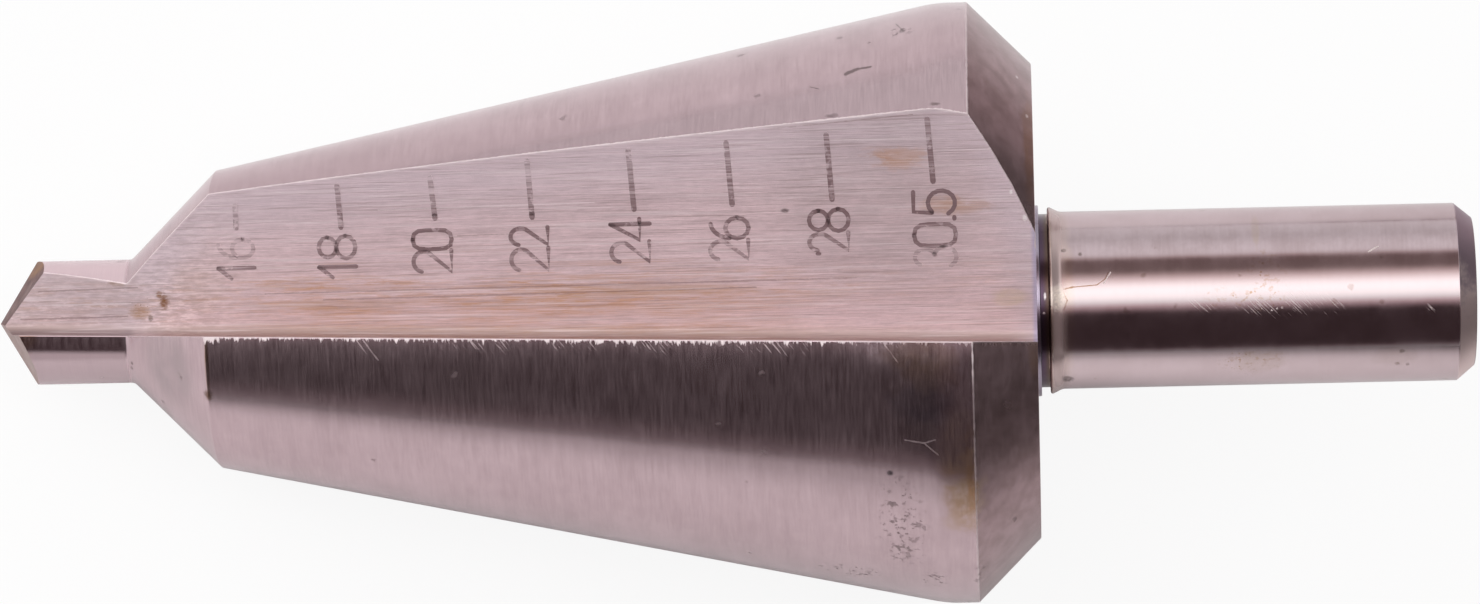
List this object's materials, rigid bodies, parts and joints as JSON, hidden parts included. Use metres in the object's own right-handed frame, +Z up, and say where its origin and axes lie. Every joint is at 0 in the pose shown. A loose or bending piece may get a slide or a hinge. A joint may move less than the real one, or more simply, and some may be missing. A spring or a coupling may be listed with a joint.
{
  "type": "conical sheet metal drill bit",
  "caption": "Conical drill bit that opens round holes in sheet metal to a graduated width, with straight flutes, a short pilot point and a plain round shank, lying at rest.",
  "frame": {"origin": "centre of the footprint of the drill as it lies, on the surface under it", "axes": "+X along the drill from its tip to its shank, which rises 10.8 degrees from the surface, +Z up"},
  "size_m": [0.0744, 0.0306, 0.028],
  "materials": {
    "tool_steel": "ground high-speed steel, warm grey, with fine grinding lines, light tarnish, small pits and rust spots"
  },
  "bodies": {
    "root": {"drill_body": "tool_steel"}
  },
  "joints": []
}
